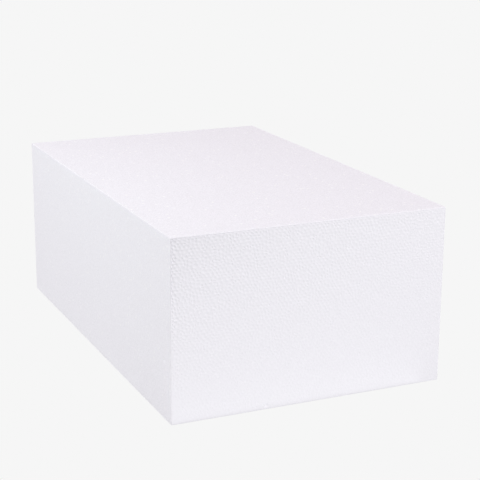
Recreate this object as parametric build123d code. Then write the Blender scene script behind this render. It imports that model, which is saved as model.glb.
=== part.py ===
from build123d import *
import os

# A rigid block of expanded polystyrene bead foam, cut square on all six sides.
# Sizes are in millimetres. The origin is the centre of the underside, with +X across
# the width, +Y along the length and +Z up.

# Driving dimensions
block_width = 160.0  # X, across an end face
block_length = 250.0  # Y, from one end face to the other
block_height = 100.0  # Z, from the underside to the top
arris_radius = 0.5  # the rounding that handling leaves on a cut edge, under half a bead


def make_foam_block():
    """The outline of the underside, raised to the full height, with every arris eased."""
    with BuildPart() as block:
        with BuildSketch(Plane.XY):
            Rectangle(block_width, block_length)
        extrude(amount=block_height)
        fillet(block.edges(), radius=arris_radius)
    return block.part


os.makedirs("parts", exist_ok=True)
export_step(make_foam_block(), "parts/foam_block.step")
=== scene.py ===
import math
import random

import bpy
from mathutils import Matrix, Vector
from mathutils.geometry import delaunay_2d_cdt


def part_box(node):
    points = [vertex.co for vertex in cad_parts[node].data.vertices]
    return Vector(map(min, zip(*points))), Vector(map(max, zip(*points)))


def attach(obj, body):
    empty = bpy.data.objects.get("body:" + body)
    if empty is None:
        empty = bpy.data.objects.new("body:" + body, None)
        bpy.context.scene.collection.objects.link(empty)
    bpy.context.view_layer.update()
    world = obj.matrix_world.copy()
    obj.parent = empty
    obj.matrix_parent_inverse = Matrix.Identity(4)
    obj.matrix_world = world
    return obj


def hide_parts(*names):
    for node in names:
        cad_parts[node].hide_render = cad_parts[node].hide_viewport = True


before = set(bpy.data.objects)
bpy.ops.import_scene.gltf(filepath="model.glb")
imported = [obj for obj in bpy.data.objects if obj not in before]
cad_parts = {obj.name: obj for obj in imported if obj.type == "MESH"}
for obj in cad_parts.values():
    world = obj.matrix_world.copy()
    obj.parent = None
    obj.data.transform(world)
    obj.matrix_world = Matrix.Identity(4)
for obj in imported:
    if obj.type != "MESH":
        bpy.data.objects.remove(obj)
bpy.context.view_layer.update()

# A rigid block of white expanded polystyrene: beads of foam steamed together in a mould and cut square.
# The two end faces are cut through the beads, which leaves each one an open cup with a crisp rim.
# The top, the underside and the two long sides were cut finer, so their cups are shallower.
# Sizes are in metres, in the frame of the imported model. The mesh is grown round the middle of the block.

block_low, block_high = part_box("foam_block")
block_middle = (block_low + block_high) / 2
block_size = block_high - block_low

MM = 0.001
MERGE_REACH = 0.01 * MM  # points closer together than this are joined

# The axis that each pair of faces looks along
X, Y, Z = 0, 1, 2
SIDES, ENDS, FLATS = X, Y, Z

# For each pair: its axis, the axes across and up the face, and 1 where those turn right-handed, else -1
FACE_PAIRS = ((SIDES, Y, Z, 1), (ENDS, X, Z, -1), (FLATS, X, Y, 1))

# The beads
ARRIS_RADIUS = 0.5 * MM
CUT_WIDTH = 2.35 * MM  # from one bead to the next across a cut end, where they lie pressed a little flat
CUT_HEIGHT = 1.75 * MM  # from one row of them to the next
SKIN_PITCH = 2.9 * MM  # from one bead to the next on the other faces
ROW_STAGGER = 0.25  # each row lies this share of a pitch to the right or to the left, by turns
BEAD_WANDER = 0.8  # the span over which a bead strays about its even place, as a share of the pitch
ARRIS_WANDER = 0.5  # the same along the block's edges
ARRIS_PITCH = (CUT_WIDTH, SKIN_PITCH, CUT_HEIGHT)  # along the arrises that run in X, in Y and in Z
ARRIS_SLACK = 0.1  # a point this share of the radius short of the rounding still counts as on it
SEED = 7

# The cups
CUP_DEPTH = 0.43 * MM  # how far a full cup goes under its rim, as at the top of an end face
SIDE_SHARE = 0.10  # depth on the long sides as a share of a full cup
FLAT_SHARE = 0.31  # the same on the top and the underside
CUP_SPREAD = 0.4  # how much less deep than its neighbours a cup may be, as a share
CUP_FADE_DOWN = 0.95  # how much of an end's depth is lost from the top arris down to the underside
CUP_FADE_ACROSS = 0.54  # how much of it is lost from one side of the end face to the other
NOTCH_REACH = 3.5 * MM  # the beads this near to the upright arris where an end's cups are deepest
NOTCH_DROP = 0.5  # and no further down the face than this share of its height
NOTCH_SHARE = 1.5  # are this many times as deep
RIM_WEAR = 0.08 * MM  # how unevenly the rims of full cups stand

# Three beads that have gone, low down: where each one was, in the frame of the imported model
LOST_BEADS = (
    (15.7 * MM, -125.0 * MM, 0.5 * MM),
    (-25.8 * MM, -125.0 * MM, 2.3 * MM),
    (-80.0 * MM, -114.7 * MM, 32.0 * MM),
)
LOST_SHARE = 0.9  # how deep each one leaves its place, as a share of a full cup

# The finish
FOAM_COLOUR = "#f3f2f7"
FOAM_ROUGHNESS = 0.55
FOAM_IOR = 1.5
CUP_SKIN_AND_PAINTED_LIGHT_COLOUR = "#f5f4f9"  # inside an open bead: its smooth skin, drawn lighter also as painted light that lifts the shade in the cup
PAINTED_SHADE_COLOUR = "#e8e7ec"  # painted shade, where the cut is roughest and its cups deepest
PAINTED_SHADE_POWER = 3  # that painted shade follows the roughness of the cut to this power
GRAIN_SIZE = 0.7 * MM
SKIN_GRAIN = 0.18  # how much lighter or darker a speck of the grain may be on the top, as a share
CUT_GRAIN = 0.03  # the same on the end faces, where the cups hide it
GRAIN_DEPTH = 0.05 * MM
SKIN_SHARE = (0.38, 0.0, 1.0)  # how far sides, ends and flats go from the ends' grain to the top's, and how much painted glint they get
BEAD_TONE = 0.004  # how much lighter or darker a whole bead may be, as a share
# Painted glints: white dots drawn into the colour where a cell wall would catch the light
PAINTED_GLINT_SPACING = 2.0 * MM
PAINTED_GLINT_SHARE = 0.05  # how many of the places that could take a painted glint have one
PAINTED_GLINT_RADIUS = 0.36  # as a share of the spacing
PAINTED_GLINT_COLOUR = "#ffffff"

# The camera: a short telephoto lens on a 36 mm wide sensor
SENSOR_WIDTH = 36.0
CAMERA_FOCAL_LENGTH = 99.358
CAMERA_PLACE = (-0.3068, -0.7109, 0.2773)
CAMERA_YAW = 24.319  # degrees to the right of +Y
CAMERA_PITCH = 15.842  # degrees below the horizon
CAMERA_ROLL = 0.375  # degrees
CAMERA_REACH = 100.0  # how far the camera sees

# The studio
FLOOR_COLOUR = "#f6f6f6"
FLOOR_WIDTH = 30.0
FLOOR_LIGHT = 1.0
GLOW_DROP = 0.1 * MM  # how far the glow lies under the sheet that is seen
GLOW_LIGHT = 0.620
GLOW_COLOUR = "#fdfeff"
ROOM_LIGHT = 0.710
ROOM_COLOUR = "#fff7fb"


def linear(colour):
    """An sRGB hex colour as linear red, green, blue and full alpha."""
    channels = [int(colour[i:i + 2], 16) / 255 for i in (1, 3, 5)]
    return [c / 12.92 if c <= 0.04045 else ((c + 0.055) / 1.055) ** 2.4 for c in channels] + [1.0]


def add_node(tree, kind, inputs=None, **settings):
    """Adds a node with its settings. An input takes a value, a socket, or a node's first output in use."""
    node = tree.nodes.new(kind)
    for name, value in settings.items():
        setattr(node, name, value)
    for key, value in (inputs or {}).items():
        if isinstance(value, bpy.types.Node):
            value = next(out for out in value.outputs if out.enabled)
        if isinstance(value, bpy.types.NodeSocket):
            tree.links.new(value, node.inputs[key])
        else:
            node.inputs[key].default_value = value
    return node


# The packing of the beads

half_size = block_size / 2
inner_half = half_size - Vector((ARRIS_RADIUS,) * 3)  # where the faces end and the arris rounding starts


def arris_marks(running, corner):
    """The places of the beads along one edge of the block, the same for both faces that meet there."""
    reach = inner_half[running]
    count = round(2 * reach / ARRIS_PITCH[running])
    step = 2 * reach / count
    draw = random.Random(f"{SEED} {running} {corner}")
    inside = [(i + ARRIS_WANDER * draw.uniform(-0.5, 0.5)) * step - reach for i in range(1, count)]
    return [-reach, *inside, reach]


def face_rim(across, up, normal, side):
    """The beads along the four edges of a face, in order round it."""
    def marks(running, fixed, sign):
        corner = [0, 0, 0]
        corner[fixed] = sign
        corner[normal] = side
        return arris_marks(running, corner)

    low, high = -inner_half[up], inner_half[up]
    left, right = -inner_half[across], inner_half[across]
    rim = [(a, low) for a in marks(across, up, -1)[:-1]]
    rim += [(right, b) for b in marks(up, across, 1)[:-1]]
    rim += [(a, high) for a in reversed(marks(across, up, 1)[1:])]
    rim += [(left, b) for b in reversed(marks(up, across, -1)[1:])]
    return rim


def face_beads(across, up, normal, side):
    """The other beads of a face: rows set half a bead apart, each bead moved off its place at random."""
    width, height = (CUT_WIDTH, CUT_HEIGHT) if normal == ENDS else (SKIN_PITCH, SKIN_PITCH)
    columns = round(2 * inner_half[across] / width)
    rows = round(2 * inner_half[up] / height)
    step = 2 * inner_half[across] / columns
    rise = 2 * inner_half[up] / rows
    draw = random.Random(f"{SEED} {normal} {side}")
    beads = []
    for row in range(1, rows):
        stagger = ROW_STAGGER if row % 2 else -ROW_STAGGER
        for column in range(1, columns):
            a = column + stagger + BEAD_WANDER * draw.uniform(-0.5, 0.5)
            b = row + BEAD_WANDER * draw.uniform(-0.5, 0.5)
            beads.append((a * step - inner_half[across], b * rise - inner_half[up]))
    return beads


def end_place(point):
    """How far down an end face a place is, and how far across it from its roughest side, as shares."""
    lowered = 0.5 - point[2] / block_size.z
    turned = math.copysign(1.0, -point[1])
    return lowered, max(0.5 + turned * point[0] / block_size.x, 0.0)


def end_roughness(point):
    """How rough an end face is at a place: most at the top of one side, and least low down."""
    lowered, across = end_place(point)
    return (1 - CUP_FADE_DOWN * lowered) * (1 - CUP_FADE_ACROSS * math.sqrt(across))


def cup_opening(point, normal, draw):
    """How deep the cup of a bead is, as a share of a full cup."""
    share = FLAT_SHARE if normal == FLATS else SIDE_SHARE
    if normal == ENDS:
        lowered, across = end_place(point)
        notched = across * block_size.x < NOTCH_REACH and lowered < NOTCH_DROP
        share = end_roughness(point) * (NOTCH_SHARE if notched else 1.0)
    return share * (1 - CUP_SPREAD * draw.random())


def face_net(normal, across, up, turn, side):
    """One face of the net: the places of its beads, and triangles between them that face outward."""
    rim = face_rim(across, up, normal, side)
    beads = rim + face_beads(across, up, normal, side)
    edges = [(i, (i + 1) % len(rim)) for i in range(len(rim))]
    places, _, triangles, *_ = delaunay_2d_cdt([Vector(bead) for bead in beads], edges, [], 1, 0.0)
    if turn * side < 0:
        triangles = [corners[::-1] for corners in triangles]
    points = []
    for a, b in places:
        point = [0, 0, 0]
        point[across], point[up], point[normal] = a, b, side * half_size[normal]
        points.append(point)
    return points, triangles


def lose_beads(points, openings):
    """Opens the bead nearest to each place where one has gone."""
    for place in LOST_BEADS:
        middle = Vector(place) - block_middle
        nearest = min(range(len(points)), key=lambda i: (Vector(points[i]) - middle).length_squared)
        openings[nearest] = LOST_SHARE


def packed_net():
    """A net of triangles over the six faces, round the middle of the block, with a corner at every bead."""
    points, triangles, openings, skins, painted_shades = [], [], [], [], []
    draw = random.Random(f"{SEED} cups")
    for normal, across, up, turn in FACE_PAIRS:
        for side in (-1, 1):
            places, corners = face_net(normal, across, up, turn, side)
            triangles += [[len(points) + corner for corner in three] for three in corners]
            points += places
            for place in places:
                openings.append(cup_opening(place, normal, draw))
                skins.append(SKIN_SHARE[normal])
                # painted shade: how much darker the ends are drawn where their cups are deepest
                painted_shades.append(end_roughness(place) ** PAINTED_SHADE_POWER if normal == ENDS else 0.0)
    lose_beads(points, openings)
    net = bpy.data.meshes.new("packed_beads")
    net.from_pydata(points, [], triangles)
    for name, values in (("opening", openings), ("skin", skins), ("painted_shade", painted_shades)):
        net.attributes.new(name, "FLOAT", "POINT").data.foreach_set("value", values)
    return net


# The shape of the foam

FOAM_INPUTS = (
    ("Beads", "NodeSocketGeometry"),
    ("Size", "NodeSocketVector"),
    ("Arris radius", "NodeSocketFloat"),
    ("Cup depth", "NodeSocketFloat"),
    ("Rim wear", "NodeSocketFloat"),
    ("Seed", "NodeSocketInt"),
    ("Material", "NodeSocketMaterial"),
)


def bead_outlines(tree, given):
    """Turns the net into the outline of each bead, and gives every bead a number of its own."""
    cells = add_node(tree, "GeometryNodeDualMesh", {0: given["Beads"], "Keep Boundaries": True})
    own = add_node(tree, "FunctionNodeRandomValue", {"Seed": given["Seed"]})
    return add_node(tree, "GeometryNodeStoreNamedAttribute", {
        "Geometry": cells, "Name": "bead", "Value": own}, data_type="FLOAT", domain="FACE")


def open_cups(tree, cells):
    """Gives each bead a middle point, marked with how open it is, and a facet to each side of its rim."""
    opening = add_node(tree, "GeometryNodeInputNamedAttribute", {"Name": "opening"}, data_type="FLOAT")
    opened = add_node(tree, "GeometryNodeExtrudeMesh", {
        "Mesh": cells, "Offset Scale": 0.0, "Individual": True}, mode="FACES")
    shrunk = add_node(tree, "GeometryNodeScaleElements", {
        "Geometry": opened.outputs["Mesh"], "Selection": opened.outputs["Top"], "Scale": 0.0}, domain="FACE")
    share = add_node(tree, "ShaderNodeMath", {0: opened.outputs["Top"], 1: opening}, operation="MULTIPLY")
    marked = add_node(tree, "GeometryNodeStoreNamedAttribute", {
        "Geometry": shrunk, "Name": "cup", "Value": share}, data_type="FLOAT", domain="POINT")
    cup = add_node(tree, "GeometryNodeInputNamedAttribute", {"Name": "cup"}, data_type="FLOAT")
    is_middle = add_node(tree, "FunctionNodeCompare", {0: cup, 1: 0.0}, operation="GREATER_THAN")
    return add_node(tree, "GeometryNodeMergeByDistance", {
        "Geometry": marked, "Selection": is_middle, "Distance": MERGE_REACH})


def relief(tree, given, cells):
    """Sinks the middle of each cup, and lets the rims lie a little unevenly, never above the faces."""
    cup = add_node(tree, "GeometryNodeInputNamedAttribute", {"Name": "cup"}, data_type="FLOAT")
    opening = add_node(tree, "GeometryNodeInputNamedAttribute", {"Name": "opening"}, data_type="FLOAT")
    normal = add_node(tree, "GeometryNodeInputNormal")
    floor = add_node(tree, "ShaderNodeMath", {0: cup, 1: given["Cup depth"]}, operation="MULTIPLY")
    wear = add_node(tree, "ShaderNodeMath", {0: opening, 1: given["Rim wear"]}, operation="MULTIPLY")
    own = add_node(tree, "FunctionNodeRandomValue", {"Seed": given["Seed"]})
    uneven = add_node(tree, "ShaderNodeMath", {0: own, 1: wear}, operation="MULTIPLY")
    sunk = add_node(tree, "ShaderNodeMath", {0: floor, 1: uneven}, operation="ADD")
    inward = add_node(tree, "ShaderNodeMath", {0: sunk, 1: -1.0}, operation="MULTIPLY")
    offset = add_node(tree, "ShaderNodeVectorMath", {0: normal, "Scale": inward}, operation="SCALE")
    worn = add_node(tree, "GeometryNodeSetPosition", {"Geometry": cells, "Offset": offset})
    return add_node(tree, "GeometryNodeSetShadeSmooth", {"Geometry": worn, "Shade Smooth": False})


def arris_place(tree, given):
    """Where a point goes to lie on the arris rounding: one radius out from the box inside the roundings."""
    double = add_node(tree, "ShaderNodeMath", {0: given["Arris radius"], 1: 2.0}, operation="MULTIPLY")
    inner = add_node(tree, "ShaderNodeVectorMath", {0: given["Size"], 1: double}, operation="SUBTRACT")
    high = add_node(tree, "ShaderNodeVectorMath", {0: inner, "Scale": 0.5}, operation="SCALE")
    low = add_node(tree, "ShaderNodeVectorMath", {0: high, "Scale": -1.0}, operation="SCALE")
    position = add_node(tree, "GeometryNodeInputPosition")
    under = add_node(tree, "ShaderNodeVectorMath", {0: position, 1: high}, operation="MINIMUM")
    centre = add_node(tree, "ShaderNodeVectorMath", {0: under, 1: low}, operation="MAXIMUM")
    out = add_node(tree, "ShaderNodeVectorMath", {0: position}, operation="ABSOLUTE")
    slack = add_node(tree, "ShaderNodeMath", {
        0: given["Arris radius"], 1: ARRIS_SLACK}, operation="MULTIPLY")
    past = add_node(tree, "ShaderNodeVectorMath", {0: out, 1: high}, operation="SUBTRACT")
    past = add_node(tree, "ShaderNodeVectorMath", {0: past, 1: slack}, operation="ADD")
    past = add_node(tree, "ShaderNodeVectorMath", {0: past, 1: (0, 0, 0)}, operation="MAXIMUM")
    reached = add_node(tree, "ShaderNodeVectorMath", {0: past}, operation="SIGN")
    side = add_node(tree, "ShaderNodeVectorMath", {0: position}, operation="SIGN")
    outward = add_node(tree, "ShaderNodeVectorMath", {0: reached, 1: side}, operation="MULTIPLY")
    outward = add_node(tree, "ShaderNodeVectorMath", {0: outward}, operation="NORMALIZE")
    arc = add_node(tree, "ShaderNodeVectorMath", {
        0: outward, "Scale": given["Arris radius"]}, operation="SCALE")
    return add_node(tree, "ShaderNodeVectorMath", {0: centre, 1: arc}, operation="ADD")


def eased_arrises(tree, given, panels):
    """Carries each panel's edge on to the middle of the arris rounding, where it meets the next panel's."""
    neighbours = add_node(tree, "GeometryNodeInputMeshEdgeNeighbors")
    open_edge = add_node(tree, "FunctionNodeCompare", {
        2: neighbours, 3: 1}, data_type="INT", operation="EQUAL")
    creased = add_node(tree, "GeometryNodeStoreNamedAttribute", {
        "Geometry": panels, "Name": "sharp_edge", "Value": open_edge}, data_type="BOOLEAN", domain="EDGE")
    strips = add_node(tree, "GeometryNodeExtrudeMesh", {
        "Mesh": creased, "Selection": open_edge, "Offset Scale": 0.0}, mode="EDGES")
    placed = add_node(tree, "GeometryNodeSetPosition", {
        "Geometry": strips.outputs["Mesh"], "Selection": strips.outputs["Top"],
        "Position": arris_place(tree, given)})
    rounded = add_node(tree, "GeometryNodeSetShadeSmooth", {
        "Geometry": placed, "Selection": strips.outputs["Side"], "Shade Smooth": True})
    return add_node(tree, "GeometryNodeMergeByDistance", {"Geometry": rounded, "Distance": MERGE_REACH})


def foam_tree():
    """The tree that makes the whole block round its own middle, from the places of its beads."""
    tree = bpy.data.node_groups.new("Bead foam block", "GeometryNodeTree")
    for name, kind in FOAM_INPUTS:
        tree.interface.new_socket(name, in_out="INPUT", socket_type=kind)
    tree.interface.new_socket("Foam", in_out="OUTPUT", socket_type="NodeSocketGeometry")
    given = add_node(tree, "NodeGroupInput").outputs
    cells = bead_outlines(tree, given)
    cupped = open_cups(tree, cells)
    worn = relief(tree, given, cupped)
    closed = eased_arrises(tree, given, worn)
    realized = add_node(tree, "GeometryNodeRealizeInstances", {"Geometry": closed})
    painted = add_node(tree, "GeometryNodeSetMaterial", {
        "Geometry": realized, "Material": given["Material"]})
    add_node(tree, "NodeGroupOutput", {0: painted})
    return tree


def grown_mesh(name, seed_mesh, tree, values):
    """Runs a tree on a mesh and returns what it makes as a plain mesh."""
    seed_object = bpy.data.objects.new(name + "_seed", seed_mesh)
    bpy.context.scene.collection.objects.link(seed_object)
    modifier = seed_object.modifiers.new("Foam", "NODES")
    modifier.node_group = tree
    for item in tree.interface.items_tree:
        if item.in_out == "INPUT" and item.name in values:
            modifier[item.identifier] = values[item.name]
    depsgraph = bpy.context.evaluated_depsgraph_get()
    mesh = bpy.data.meshes.new_from_object(seed_object.evaluated_get(depsgraph))
    bpy.data.objects.remove(seed_object)
    bpy.data.meshes.remove(seed_mesh)
    mesh.name = name
    return mesh


# The finish of the foam

def bead_foam_material():
    """Expanded polystyrene, steam moulded and cut: a matt, faintly lavender white with grain and painted
    glints.
    """
    material = bpy.data.materials.new("Expanded polystyrene, moulded and cut")
    material.use_nodes = True
    tree = material.node_tree
    tree.nodes.clear()
    place = add_node(tree, "ShaderNodeTexCoord").outputs["Object"]

    # The cells inside a bead are about a tenth of a millimetre wide, so the grain is drawn coarser to show
    grain = add_node(tree, "ShaderNodeTexNoise", {"Vector": place, "Scale": 1 / GRAIN_SIZE, "Detail": 1.0})
    bead = add_node(tree, "ShaderNodeAttribute", attribute_name="bead")
    cup = add_node(tree, "ShaderNodeAttribute", attribute_name="cup")
    painted_shade = add_node(tree, "ShaderNodeAttribute", attribute_name="painted_shade")
    # Lighter toward the middle of each cup: the skin inside a bead, and partly painted light against the
    # cup's shade
    whole = add_node(tree, "ShaderNodeMix", {
        0: cup.outputs["Fac"], 6: linear(FOAM_COLOUR), 7: linear(CUP_SKIN_AND_PAINTED_LIGHT_COLOUR)}, data_type="RGBA")
    # Darker where the cut is roughest and the cups deepest: painted shade
    foam = add_node(tree, "ShaderNodeMix", {
        0: painted_shade.outputs["Fac"], 6: whole.outputs[2], 7: linear(PAINTED_SHADE_COLOUR)}, data_type="RGBA")
    skin = add_node(tree, "ShaderNodeAttribute", attribute_name="skin").outputs["Fac"]
    strength = add_node(tree, "ShaderNodeMapRange", {
        "Value": skin, "To Min": CUT_GRAIN, "To Max": SKIN_GRAIN})
    swing = add_node(tree, "ShaderNodeMapRange", {"Value": grain, "To Min": -1.0, "To Max": 1.0})
    speckle = add_node(tree, "ShaderNodeMath", {0: swing, 1: strength, 2: 1.0}, operation="MULTIPLY_ADD")
    own_tone = add_node(tree, "ShaderNodeMapRange", {
        "Value": bead.outputs["Fac"], "To Min": 1 - BEAD_TONE, "To Max": 1 + BEAD_TONE})
    shade = add_node(tree, "ShaderNodeMath", {0: speckle, 1: own_tone}, operation="MULTIPLY")
    toned = add_node(tree, "ShaderNodeVectorMath", {0: foam.outputs[2], "Scale": shade}, operation="SCALE")

    # Painted highlights: here and there a dot of clear white stands for a cell wall that would glint
    cells = add_node(tree, "ShaderNodeTexVoronoi", {"Vector": place, "Scale": 1 / PAINTED_GLINT_SPACING})
    draw = add_node(tree, "ShaderNodeSeparateXYZ", {0: cells.outputs["Color"]})
    chosen = add_node(tree, "ShaderNodeMath", {
        0: draw.outputs["X"], 1: 1 - PAINTED_GLINT_SHARE}, operation="GREATER_THAN")
    dot = add_node(tree, "ShaderNodeMath", {
        0: cells.outputs["Distance"], 1: PAINTED_GLINT_RADIUS}, operation="LESS_THAN")
    painted_glint = add_node(tree, "ShaderNodeMath", {0: chosen, 1: dot}, operation="MULTIPLY")
    painted_glint = add_node(tree, "ShaderNodeMath", {0: painted_glint, 1: skin}, operation="MULTIPLY")
    colour = add_node(tree, "ShaderNodeMix", {
        0: painted_glint, 6: toned, 7: linear(PAINTED_GLINT_COLOUR)}, data_type="RGBA")

    bump = add_node(tree, "ShaderNodeBump", {"Height": grain, "Distance": GRAIN_DEPTH})
    shader = add_node(tree, "ShaderNodeBsdfPrincipled", {
        "Base Color": colour.outputs[2], "Roughness": FOAM_ROUGHNESS, "IOR": FOAM_IOR, "Normal": bump})
    add_node(tree, "ShaderNodeOutputMaterial", {"Surface": shader})
    return material


def make_block():
    """The block, in place of the CAD node."""
    mesh = grown_mesh("bead_foam_block", packed_net(), foam_tree(), {
        "Size": block_size, "Arris radius": ARRIS_RADIUS, "Cup depth": CUP_DEPTH, "Rim wear": RIM_WEAR,
        "Seed": SEED, "Material": bead_foam_material()})
    mesh.transform(Matrix.Translation(block_middle))
    block = bpy.data.objects.new("bead_foam_block", mesh)
    bpy.context.scene.collection.objects.link(block)
    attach(block, "root")
    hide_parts("foam_block")


# The studio

def make_camera():
    """The camera at the viewing angle of the photograph."""
    data = bpy.data.cameras.new("Camera")
    data.sensor_width = SENSOR_WIDTH
    data.lens = CAMERA_FOCAL_LENGTH
    data.clip_end = CAMERA_REACH
    camera = bpy.data.objects.new("Camera", data)
    bpy.context.scene.collection.objects.link(camera)
    turn = (Matrix.Rotation(math.radians(-CAMERA_YAW), 4, "Z")
            @ Matrix.Rotation(math.radians(90 - CAMERA_PITCH), 4, "X")
            @ Matrix.Rotation(math.radians(CAMERA_ROLL), 4, "Z"))
    camera.matrix_world = Matrix.Translation(CAMERA_PLACE) @ turn
    bpy.context.scene.camera = camera


def plane(name, width, level, material):
    """A flat square in the studio, level, with its middle over the origin."""
    half = width / 2
    corners = [(-half, -half, level), (half, -half, level), (half, half, level), (-half, half, level)]
    mesh = bpy.data.meshes.new(name)
    mesh.from_pydata(corners, [], [(0, 1, 2, 3)])
    mesh.materials.append(material)
    piece = bpy.data.objects.new(name, mesh)
    bpy.context.scene.collection.objects.link(piece)
    return piece


def glowing_paper(name, colour, strength):
    """White paper lit through from below, which gives the same light wherever it is seen."""
    material = bpy.data.materials.new(name)
    material.use_nodes = True
    tree = material.node_tree
    tree.nodes.clear()
    light = add_node(tree, "ShaderNodeEmission", {"Color": linear(colour), "Strength": strength})
    add_node(tree, "ShaderNodeOutputMaterial", {"Surface": light})
    return material


def make_floor():
    """A light table: the sheet that is seen, and close below it the glow that reaches up to the block."""
    paper = glowing_paper("Light table paper", FLOOR_COLOUR, FLOOR_LIGHT)
    seen = plane("floor", FLOOR_WIDTH, 0.0, paper)
    for ray in ("diffuse", "glossy", "transmission", "volume_scatter", "shadow"):
        setattr(seen, "visible_" + ray, False)
    glowing = glowing_paper("Light table glow", GLOW_COLOUR, GLOW_LIGHT)
    glow = plane("floor_glow", FLOOR_WIDTH, -GLOW_DROP, glowing)
    glow.visible_camera = False


MIDDLE = (0.0, 0.0, 0.05)  # of the block

# Each softbox: its name, its place and what it faces, its width and height, its watts and its colour.
# The watts and colours were worked out by a separate program, which fitted them to the photograph's tones
# together with ROOM_LIGHT, GLOW_LIGHT and their colours. The two strips were then changed by trial.
SOFTBOXES = (
    ("softbox_front", (0.10, -1.30, 0.50), MIDDLE, 0.80, 0.80, 3.60, "#f8fffd"),
    ("softbox_right", (0.90, -0.90, 0.40), MIDDLE, 0.80, 0.80, 1.86, "#fbfffb"),
    ("softbox_right_high", (0.90, -0.90, 1.20), MIDDLE, 0.60, 0.60, 2.54, "#ffffff"),
    ("softbox_left", (-1.20, 0.10, 0.50), MIDDLE, 0.80, 0.80, 2.41, "#fcfffd"),
    ("softbox_left_near", (-0.30, 0.00, 0.40), (-0.08, 0.00, 0.10), 0.20, 0.20, 0.305, "#e9fffa"),
    ("softbox_back_left", (-0.90, 0.90, 0.50), MIDDLE, 0.80, 0.80, 1.78, "#fffefe"),
    ("strip_front", (-0.034, -0.1500, 0.0020), (-0.034, -0.1500, 1.0), 0.20, 0.040, 0.00360, "#fafffb"),
    ("strip_contact", (-0.016, -0.1285, 0.0008), (-0.016, -0.1285, 1.0), 0.17, 0.005, 0.00048, "#f9fffe"),
)


def make_softbox(name, place, aim, width, height, watts, colour):
    """A flat soft lamp that stands at one place and faces another, unseen by the camera."""
    data = bpy.data.lights.new(name, "AREA")
    data.shape = "RECTANGLE"
    data.size = width
    data.size_y = height
    data.energy = watts
    data.color = linear(colour)[:3]
    lamp = bpy.data.objects.new(name, data)
    bpy.context.scene.collection.objects.link(lamp)
    lamp.location = place
    lamp.rotation_euler = (Vector(aim) - Vector(place)).to_track_quat("-Z", "Y").to_euler()
    lamp.visible_camera = False


def make_light():
    """An even room light and the softboxes, shown with no tone curve."""
    world = bpy.data.worlds.new("Studio")
    world.use_nodes = True
    bpy.context.scene.world = world
    background = world.node_tree.nodes["Background"].inputs
    background["Color"].default_value = linear(ROOM_COLOUR)
    background["Strength"].default_value = ROOM_LIGHT
    for softbox in SOFTBOXES:
        make_softbox(*softbox)
    bpy.context.scene.view_settings.view_transform = "Standard"


make_camera()
make_floor()
make_light()
make_block()
